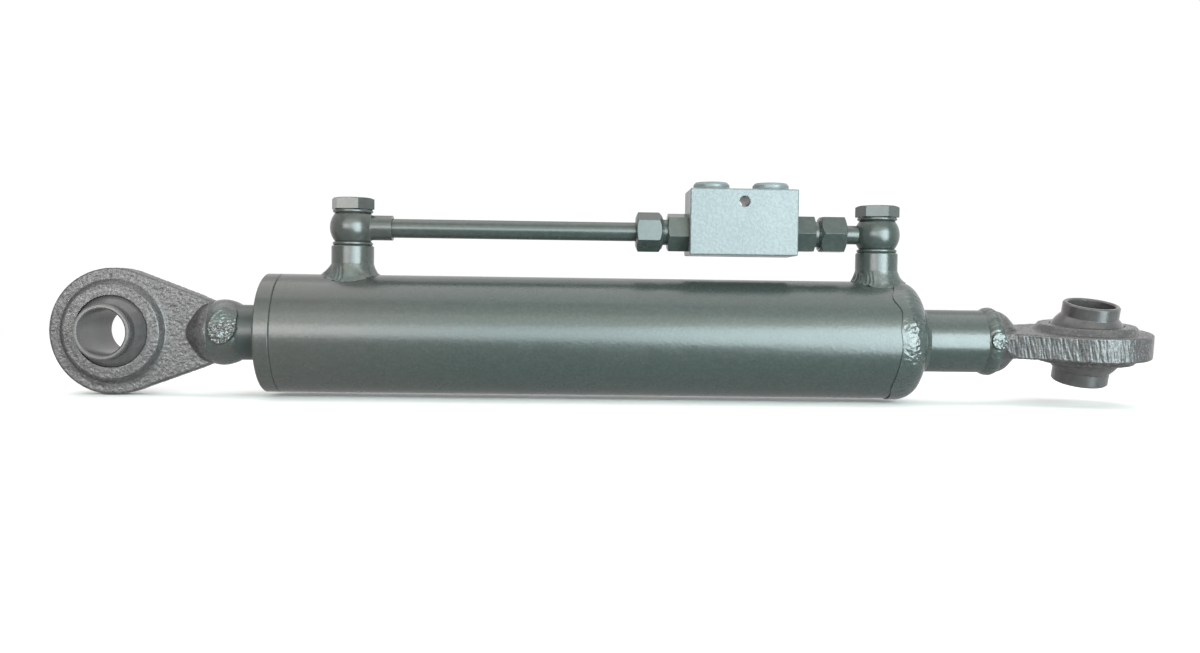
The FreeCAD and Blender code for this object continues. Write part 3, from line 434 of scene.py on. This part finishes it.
def forged_eye(name, node, centre, tang, pin, seed):
    """Roughens an eye: grain on its flats and fainter on its bosses, shear marks on its edge.

    The socket stays clean. tang and pin are unit vectors from the eye's centre: to the tang's end
    and along the pin.
    """
    mesh = remeshed(node, EYE_VOXEL)
    points = points_of(mesh)
    normals = normals_of(mesh)
    tang = np.array(tang, float)
    pin = np.array(pin, float)
    across = np.cross(pin, tang)
    local = points - np.array(centre)
    along = local @ tang
    side = local @ across
    height = local @ pin
    radius = np.hypot(along, side)
    facing = np.abs(normals @ pin)

    off_boss = smoothstep(BOSS_RADIUS + 0.3 * MM, BOSS_RADIUS + 2 * MM, radius)
    off_nose = smoothstep(PLATE_HALF + 1.1 * MM, PLATE_HALF + 0.5 * MM, np.abs(height))
    before_weld = smoothstep(TANG_END, TANG_END - 2 * MM, along)
    flats = facing ** 2 * off_boss * off_nose * before_weld
    grain = 0.6 * lumps(points, 0.95 * MM, seed) + 0.5 * lumps(points, 1.9 * MM, seed + 1)
    pits = np.clip(lumps(points, 2.6 * MM, seed + 2) - 0.25, 0, 1)
    sunk = GRAIN_DEPTH * (0.45 - 0.55 * grain) + 0.5 * MM * pits
    depth = flats * np.clip(sunk, 0, 0.7 * MM)

    ring = (1 - off_boss) * smoothstep(SOCKET_RADIUS + 0.4 * MM, SOCKET_RADIUS + 1.6 * MM, radius)
    depth += ring * facing ** 2 * RING_DEPTH * np.clip(0.4 - lumps(points, 1.2 * MM, seed + 3), 0, 1)

    edge = (1 - facing) ** 2 * smoothstep(PLATE_HALF + 0.2 * MM, PLATE_HALF - 1.2 * MM, np.abs(height))
    edge *= smoothstep(EYE_RADIUS - 6 * MM, EYE_RADIUS - 3 * MM, np.maximum(radius, EYE_RADIUS * (along > 0)))
    edge *= before_weld * smoothstep(SOCKET_RADIUS + 3 * MM, SOCKET_RADIUS + 6 * MM, radius)
    edge *= smoothstep(-EYE_RADIUS * 0.75, -EYE_RADIUS * 0.5, along)
    streaks = np.stack([along - 0.2 * height, side, 0.07 * height], 1)
    marks = 0.4 - 1.3 * lumps(streaks, 0.8 * MM, seed + 4) + 0.6 * lumps(streaks, 2.6 * MM, seed + 5)
    depth += edge * SHEAR_DEPTH * np.clip(marks, 0, 1.2)

    waves = WAVE_DEPTH * np.clip(0.5 + lumps(points, 14 * MM, seed + 6), 0, 1)
    depth += waves * (flats + edge)
    set_points(mesh, points - normals * depth[:, None])
    return stand_in(name, mesh, node)


rod_ball = middle("rod_ball")
forged_eye("rod_eye_forging", "rod_eye", rod_ball, (1, 0, 0), (0, -1, 0), 3.0)
base_pin = (0, -math.sin(BASE_EYE_ROLL), math.cos(BASE_EYE_ROLL))
forged_eye("base_eye_forging", "base_eye", (0, 0, 0), (-1, 0, 0), base_pin, 11.0)


# ---------------------------------------------------------------- weld beads
TANG_RADIUS = 19.2 * MM
ROD_RADIUS = 17.45 * MM
STUB_RADIUS = 19.9 * MM
BASE_FACE_RADIUS = 27.1 * MM
EYE_CORE_RADIUS = 12 * MM
PORT_RIPPLE_PITCH = 3.4 * MM


def arc_section(start, end, bulge, count):
    """count points from start to end on a shallow arc that bulges by bulge to the left of the way."""
    start = np.array(start, float)
    end = np.array(end, float)
    chord = end - start
    length = np.hypot(*chord)
    left = np.array([-chord[1], chord[0]]) / length
    share = np.linspace(0, 1, count)
    rise = 4 * bulge * share * (1 - share)
    return start + share[:, None] * chord + rise[:, None] * left


def grid_normals(grid):
    """Unit normals of a grid of points that closes on itself along its first axis."""
    around = np.roll(grid, -1, 0) - np.roll(grid, 1, 0)
    across = np.gradient(grid, axis=1)
    normal = np.cross(across, around)
    return normal / np.maximum(np.linalg.norm(normal, axis=2, keepdims=True), 1e-12)


def bead(name, node, grid, root, relief):
    """A closed ring of weld: grid[turn, across] is its face, root[turn] the line behind it."""
    turns, rows = grid.shape[:2]
    normals = grid_normals(grid)
    centre = grid.mean((0, 1))
    if ((grid - centre) * normals).sum() < 0:
        normals = -normals
    face = grid + normals * relief[:, :, None]
    rings = np.concatenate([face, root[:, None, :]], 1)
    corners = rings.reshape(-1, 3)
    width = rows + 1
    turn = np.arange(turns)[:, None]
    row = np.arange(width)[None, :]
    after_turn = (turn + 1) % turns
    after_row = (row + 1) % width
    quads = np.stack([turn * width + row, turn * width + after_row,
                      after_turn * width + after_row, after_turn * width + row], 2).reshape(-1, 4)
    mesh = bpy.data.meshes.new(name)
    mesh.from_pydata([tuple(p) for p in corners], [], quads.tolist())
    shell = bmesh.new()
    shell.from_mesh(mesh)
    bmesh.ops.recalc_face_normals(shell, faces=shell.faces)
    shell.to_mesh(mesh)
    shell.free()
    return stand_in(name, mesh, node)


def ripples(angles, radius, shares, pitch, height, chevron, seed):
    """Crescent ripples that a torch leaves round a bead, uneven in pitch and height."""
    wander = np.array([noise.noise(Vector((2.2 * math.cos(a), 2.2 * math.sin(a), seed))) for a in angles])
    phase = angles * radius / pitch + 0.9 * wander
    phase = phase[:, None] + chevron * (2 * shares[None, :] - 1) ** 2
    wave = 0.5 + 0.5 * np.cos(2 * math.pi * phase)
    swell = 0.75 + 0.5 * wander[:, None]
    return height * wave ** 1.5 * swell * np.sin(math.pi * shares)[None, :]


def button(grid, centre, half_width, half_height, lean, rise):
    """Relief and mask of a weld's stop crater: an oval cap with a rim, on the near (-Y) side."""
    right = grid[:, :, 0] - centre[0]
    up = grid[:, :, 2] - centre[1]
    turned_right = right * math.cos(lean) - up * math.sin(lean)
    turned_up = right * math.sin(lean) + up * math.cos(lean)
    distance = np.hypot(turned_right / half_width, turned_up / half_height)
    near = grid[:, :, 1] < 0
    cap = smoothstep(1.02, 0.86, distance)
    rim = np.exp(-((distance - 0.86) / 0.09) ** 2)
    hollow = smoothstep(0.8, 0.1, distance) * 0.55
    return near * rise * (cap * (0.75 - hollow) + 0.35 * rim), near * cap


def folds(grid, size, seed):
    """Crumpled relief of frozen metal, 0 to 1, from ridged noise."""
    flat = grid.reshape(-1, 3)
    ridge = 1 - np.abs(lumps(flat, size, seed)) * 2
    finer = 1 - np.abs(lumps(flat, size / 2.1, seed + 1)) * 2
    return np.clip(0.65 * ridge + 0.35 * finer, 0, 1).reshape(grid.shape[:2])


def ring_weld(name, node, section, core_radius, pitch, height, seed, uneven,
              turns=420, chevron=0.5, taper=0.6, toe=0.0, patches=()):
    """A bead round the X axis; section is (x, radius) along its face.

    core_radius is that of the hidden line behind it. pitch, height and chevron shape its ripples,
    uneven and taper its lumps, toe is how far its first edge wanders, and each patch changes the
    relief in one place.
    """
    angles = np.linspace(0, 2 * math.pi, turns, endpoint=False)
    shares = np.linspace(0, 1, len(section))
    radius = section[:, 1][None, :]
    around = np.stack([np.zeros(turns), -np.cos(angles), np.sin(angles)], 1)
    wander = toe * lumps(around, 0.35, seed + 7)
    x = section[:, 0][None, :] + wander[:, None] * (1 - shares[None, :]) ** 2
    grid = np.stack([x, -radius * np.cos(angles)[:, None], radius * np.sin(angles)[:, None]], 2)
    core_x = np.full(turns, section[:, 0].mean())
    root = np.stack([core_x, -core_radius * np.cos(angles), core_radius * np.sin(angles)], 1)
    relief = ripples(angles, section[:, 1].max(), shares, pitch, height, chevron, seed)
    swell = np.sin(math.pi * shares)[None, :] ** taper
    lumpy = lumps(grid.reshape(-1, 3), 9 * MM, seed + 4).reshape(relief.shape)
    relief = relief + uneven * lumpy * swell
    for patch in patches:
        relief = patch(grid, relief, swell)
    return bead(name, node, grid, root, relief)


def rough_patch(low_x, high_x, low_z, high_z, depth, size, seed):
    """Where a bead was restarted: folded metal on the near side, fading out at the patch's edges."""
    def add(grid, relief, swell):
        fade = 4 * MM
        inside = smoothstep(low_x - fade / 2, low_x + fade / 2, grid[:, :, 0])
        inside = inside * smoothstep(high_x + fade / 2, high_x - fade / 2, grid[:, :, 0])
        inside = inside * smoothstep(low_z - fade, low_z + fade, grid[:, :, 2])
        inside = inside * smoothstep(high_z + fade, high_z - fade, grid[:, :, 2])
        inside = inside * (grid[:, :, 1] < 0) * swell ** 0.5
        return relief + inside * depth * folds(grid, size, seed)
    return add


def crater(centre, half_width, half_height, lean, rise, depth, seed):
    """A stop crater on the near side of a bead; the bead's swell at its edges doesn't dim it."""
    def add(grid, relief, _swell):
        cap, mask = button(grid, centre, half_width, half_height, lean, rise)
        lower = smoothstep(centre[1] + half_height * 0.35, centre[1] - half_height * 0.1, grid[:, :, 2])
        return relief * (1 - mask) + cap + mask * depth * (0.25 + 0.75 * lower) * folds(grid, 2.6 * MM, seed)
    return add


def rod_eye_weld():
    start = (rod_ball.x + TANG_END - 1.4 * MM, TANG_RADIUS)
    end = (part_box("rod_eye_weld")[1].x + 0.6 * MM, ROD_RADIUS)
    stop = crater((rod_ball.x + TANG_END + 10.2 * MM, 4.8 * MM), half_width=8.4 * MM, half_height=12.2 * MM,
                  lean=math.radians(16), rise=1.5 * MM, depth=1.3 * MM, seed=21)
    section = arc_section(start, end, 2.3 * MM, 46)
    return ring_weld("rod_eye_weld_bead", "rod_eye_weld", section, EYE_CORE_RADIUS, pitch=5 * MM,
                     height=0.12 * MM, seed=2.0, uneven=0.3 * MM, patches=(stop,))


def base_eye_weld():
    start = (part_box("base_eye_weld")[0].x - 0.8 * MM, STUB_RADIUS)
    end = (-TANG_END + 1.6 * MM, TANG_RADIUS)
    stop = crater((-TANG_END - 3.2 * MM, 1 * MM), half_width=4.6 * MM, half_height=5.6 * MM,
                  lean=math.radians(-10), rise=1.2 * MM, depth=0.9 * MM, seed=31)
    section = arc_section(start, end, 2.2 * MM, 36)
    return ring_weld("base_eye_weld_bead", "base_eye_weld", section, EYE_CORE_RADIUS, pitch=4.2 * MM,
                     height=0.35 * MM, seed=5.0, uneven=0.45 * MM, patches=(stop,))


def base_weld():
    """The bead over the barrel's closed end: a straight toe on the tube, then round the corner."""
    low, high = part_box("base_weld")
    tube = high.z + 0.02 * MM
    straight = np.stack([np.linspace(low.x - 6 * MM, low.x, 12), np.full(12, tube)], 1)
    corner = arc_section((low.x, tube), (high.x, BASE_FACE_RADIUS), 2.9 * MM, 46)
    section = np.concatenate([straight[:-1], corner])
    restart = rough_patch(low_x=low.x - 9.5 * MM, high_x=high.x - 2.5 * MM, low_z=-14 * MM, high_z=15 * MM,
                          depth=0.6 * MM, size=3.2 * MM, seed=41)
    return ring_weld("base_weld_bead", "base_weld", section, 29 * MM, pitch=4.6 * MM, height=0.16 * MM,
                     seed=8.0, uneven=0.25 * MM, turns=640, chevron=0.8, taper=1.6, toe=3 * MM,
                     patches=(restart,))


def stub_weld():
    low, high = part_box("stub_weld")
    start = (low.x, high.z + 0.3 * MM)
    end = (high.x + 0.5 * MM, STUB_RADIUS + 0.05 * MM)
    section = arc_section(start, end, -0.7 * MM, 22)
    return ring_weld("stub_weld_bead", "stub_weld", section, 20.5 * MM, pitch=3.4 * MM,
                     height=0.3 * MM, seed=9.0, uneven=0.25 * MM)


def port_weld(end, seed, height, left, right):
    """The flared collar that joins a port boss to the barrel, rippled mostly on its -X side.

    height is that of its ripples; left and right are how far its foot reaches past the boss
    towards -X and +X.
    """
    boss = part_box(f"{end}_port_boss")[1].y
    port_x = middle(f"{end}_upper_washer").x
    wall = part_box("barrel")[1].y
    turns, rows = 300, 34
    angles = np.linspace(0, 2 * math.pi, turns, endpoint=False)
    shares = np.linspace(0, 1, rows)
    top_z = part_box(f"{end}_port_weld")[1].z
    direction = np.stack([np.cos(angles), np.sin(angles)], 1)
    foot = boss + left + (right - left) * (1 + direction[:, 0]) / 2
    radial = boss + (foot - boss)[:, None] * shares[None, :]
    sideways = radial * direction[:, 1:2]
    barrel_z = np.sqrt(wall ** 2 - np.clip(sideways, -wall, wall) ** 2)
    foot_z = np.sqrt(wall ** 2 - (foot * direction[:, 1]) ** 2)[:, None]
    fall = (1 - shares[None, :]) ** 1.9
    z = foot_z + (top_z - foot_z) * fall
    z = np.maximum(z, barrel_z - 0.05 * MM)
    grid = np.stack([port_x + radial * direction[:, 0:1], sideways, z], 2)
    inner = boss - 1.5 * MM
    inner_y = inner * direction[:, 1]
    inner_z = np.sqrt(wall ** 2 - inner_y ** 2) - 1 * MM
    root = np.stack([port_x + inner * direction[:, 0], inner_y, inner_z], 1)
    relief = ripples(angles, boss + 2 * MM, shares, PORT_RIPPLE_PITCH, height, 0.6, seed)
    relief = relief * smoothstep(-0.1, -0.75, direction[:, 0:1] + 0.25 * direction[:, 1:2])
    uneven = lumps(grid.reshape(-1, 3), 5 * MM, seed + 2).reshape(relief.shape)
    spatter = np.clip(lumps(grid.reshape(-1, 3), 2.2 * MM, seed + 3).reshape(relief.shape) - 0.15, 0, 1)
    lower = smoothstep(0.45, 0.85, shares)[None, :]
    relief = relief + 0.3 * MM * uneven * np.sin(math.pi * shares)[None, :] + 1.1 * MM * lower * spatter
    return bead(f"{end}_port_weld_bead", f"{end}_port_weld", grid, root, relief)


rod_eye_weld()
base_eye_weld()
base_weld()
stub_weld()
port_weld("rod", seed=13.0, height=0.7 * MM, left=6.6 * MM, right=4.2 * MM)
port_weld("base", seed=17.0, height=0.5 * MM, left=3.4 * MM, right=5.4 * MM)


# ---------------------------------------------------------------- stage, light and camera
AIM = Vector(((cad_low.x + cad_high.x) / 2, 0, 0))
FLOOR_GAP = 0.1 * MM
FLOOR_SIZE = 8.0
PAPER_DULL = (0.84, 0.84, 0.825)
PAPER_BRIGHT = (0.87, 0.87, 0.86)
FADE_CENTRE_Y = 0.1
FADE_START = 0.55
FADE_END = 1.1


def white_floor():
    """A pale matt floor that fades to plain white.

    It casts no shadow, so light from below it still reaches the object.
    """
    mesh = bpy.data.meshes.new("floor")
    half = FLOOR_SIZE / 2
    level = cad_low.z - FLOOR_GAP
    signs = ((-1, -1), (1, -1), (1, 1), (-1, 1))
    corners = [(AIM.x + half * x, half * y, level) for x, y in signs]
    mesh.from_pydata(corners, [], [(0, 1, 2, 3)])
    floor = bpy.data.objects.new("floor", mesh)
    bpy.context.scene.collection.objects.link(floor)
    look = Look("floor_paper")
    cloud = look.remap(look.noise(60 * MM, 3, 0.5), 0.3, 0.7)
    look.out("Base Color", look.mix(cloud, PAPER_DULL, PAPER_BRIGHT))
    look.out("Roughness", look.remap(look.noise(12 * MM, 3, 0.5), 0.3, 0.7, 0.65, 0.8))
    look.out("Specular IOR Level", 0.2)
    away = look.node("ShaderNodeVectorMath", operation="DISTANCE")
    look.link(look.place, away.inputs[0])
    away.inputs[1].default_value = (AIM.x, FADE_CENTRE_Y, level)
    glow = look.node("ShaderNodeEmission")
    glow.inputs["Color"].default_value = (1, 1, 1, 1)
    blend = look.node("ShaderNodeMixShader")
    look.link(look.remap(away.outputs["Value"], FADE_START, FADE_END), blend.inputs["Fac"])
    look.link(look.shader.outputs["BSDF"], blend.inputs[1])
    look.link(glow.outputs["Emission"], blend.inputs[2])
    output = look.tree.nodes["Material Output"]
    look.link(blend.outputs["Shader"], output.inputs["Surface"])
    mesh.materials.append(look.material)
    floor.visible_glossy = False
    floor.visible_shadow = False


def white_surround():
    """White light from behind and a dimmer room on the viewer's side and below; plain white to look at."""
    world = bpy.data.worlds.new("surround")
    bpy.context.scene.world = world
    world.use_nodes = True
    tree = world.node_tree
    background = tree.nodes["Background"]
    split = tree.nodes.new("ShaderNodeSeparateXYZ")
    tree.links.new(tree.nodes.new("ShaderNodeTexCoord").outputs["Generated"], split.inputs[0])
    strength = tree.nodes.new("ShaderNodeMath")
    strength.operation = "MULTIPLY"
    ramps = (("Y", -0.5, 0.2, 0.4, 1.03), ("Z", -0.35, -0.08, 0.5, 1.0))
    for socket, (direction, dim_at, bright_at, dim, bright) in zip(strength.inputs, ramps):
        shade = tree.nodes.new("ShaderNodeMapRange")
        shade.inputs["From Min"].default_value = dim_at
        shade.inputs["From Max"].default_value = bright_at
        shade.inputs["To Min"].default_value = dim
        shade.inputs["To Max"].default_value = bright
        tree.links.new(split.outputs[direction], shade.inputs["Value"])
        tree.links.new(shade.outputs["Result"], socket)
    seen = tree.nodes.new("ShaderNodeMath")
    seen.operation = "MAXIMUM"
    tree.links.new(strength.outputs[0], seen.inputs[0])
    tree.links.new(tree.nodes.new("ShaderNodeLightPath").outputs["Is Camera Ray"], seen.inputs[1])
    tree.links.new(seen.outputs[0], background.inputs["Strength"])
    background.inputs["Color"].default_value = (1, 1, 1, 1)


DAYLIGHT = (0.80, 0.97, 1.0)
OLIVE = (0.96, 1.0, 0.9)
NEUTRAL = (1.0, 0.985, 0.955)


def softbox(name, place, width, height, brightness, tint):
    """A rectangular studio light that faces the object and stays out of view.

    brightness is its power per square metre, divided by pi.
    """
    lamp = bpy.data.lights.new(name, "AREA")
    lamp.shape = "RECTANGLE"
    lamp.size = width
    lamp.size_y = height
    lamp.energy = brightness * math.pi * width * height
    lamp.color = tint
    thing = bpy.data.objects.new(name, lamp)
    bpy.context.scene.collection.objects.link(thing)
    thing.location = place
    thing.rotation_euler = (AIM - Vector(place)).to_track_quat("-Z", "Y").to_euler()
    thing.visible_camera = False


softbox("overhead", (-0.3, 0.1, 1.7), width=2.4, height=1.6, brightness=1.5, tint=NEUTRAL)
softbox("wall_left", (-1.4, -2.1, 0.32), width=1.2, height=0.85, brightness=8.5, tint=NEUTRAL)
softbox("wall_middle", (-0.45, -2.2, 0.28), width=0.7, height=1.0, brightness=6.4, tint=DAYLIGHT)
softbox("wall_bright", (0.13, -2.2, 0.22), width=0.45, height=1.35, brightness=11.5, tint=DAYLIGHT)
softbox("wall_right", (1.0, -2.0, 0.08), width=1.3, height=2.05, brightness=15.0, tint=DAYLIGHT)
softbox("low_window", (-0.2, -1.85, 1.15), width=3.2, height=0.75, brightness=2.6, tint=OLIVE)
softbox("high_window", (-0.2, -1.35, 1.7), width=3.0, height=0.9, brightness=1.1, tint=OLIVE)

CAMERA_PLACE = Vector((-0.3338, -0.7098, 0.0276))
CAMERA_YAW = math.radians(1.535)
CAMERA_PITCH = math.radians(-1.701)
CAMERA_ROLL = math.radians(0.765)
CAMERA_LENS = 33.27
SENSOR_WIDTH = 36


def photo_camera():
    """The viewer's camera: from the front, level with the barrel, and no depth of field."""
    ahead = Vector((math.sin(CAMERA_YAW) * math.cos(CAMERA_PITCH),
                    math.cos(CAMERA_YAW) * math.cos(CAMERA_PITCH), math.sin(CAMERA_PITCH)))
    level = Vector((math.cos(CAMERA_YAW), -math.sin(CAMERA_YAW), 0))
    upright = level.cross(ahead)
    right = level * math.cos(CAMERA_ROLL) + upright * math.sin(CAMERA_ROLL)
    up = upright * math.cos(CAMERA_ROLL) - level * math.sin(CAMERA_ROLL)
    data = bpy.data.cameras.new("camera")
    data.lens = CAMERA_LENS
    data.sensor_width = SENSOR_WIDTH
    data.clip_start = 0.05
    camera = bpy.data.objects.new("camera", data)
    bpy.context.scene.collection.objects.link(camera)
    turn = Matrix((right, up, -ahead)).transposed().to_4x4()
    camera.matrix_world = Matrix.Translation(CAMERA_PLACE) @ turn
    bpy.context.scene.camera = camera


white_floor()
white_surround()
photo_camera()
bpy.context.scene.view_settings.view_transform = "Standard"
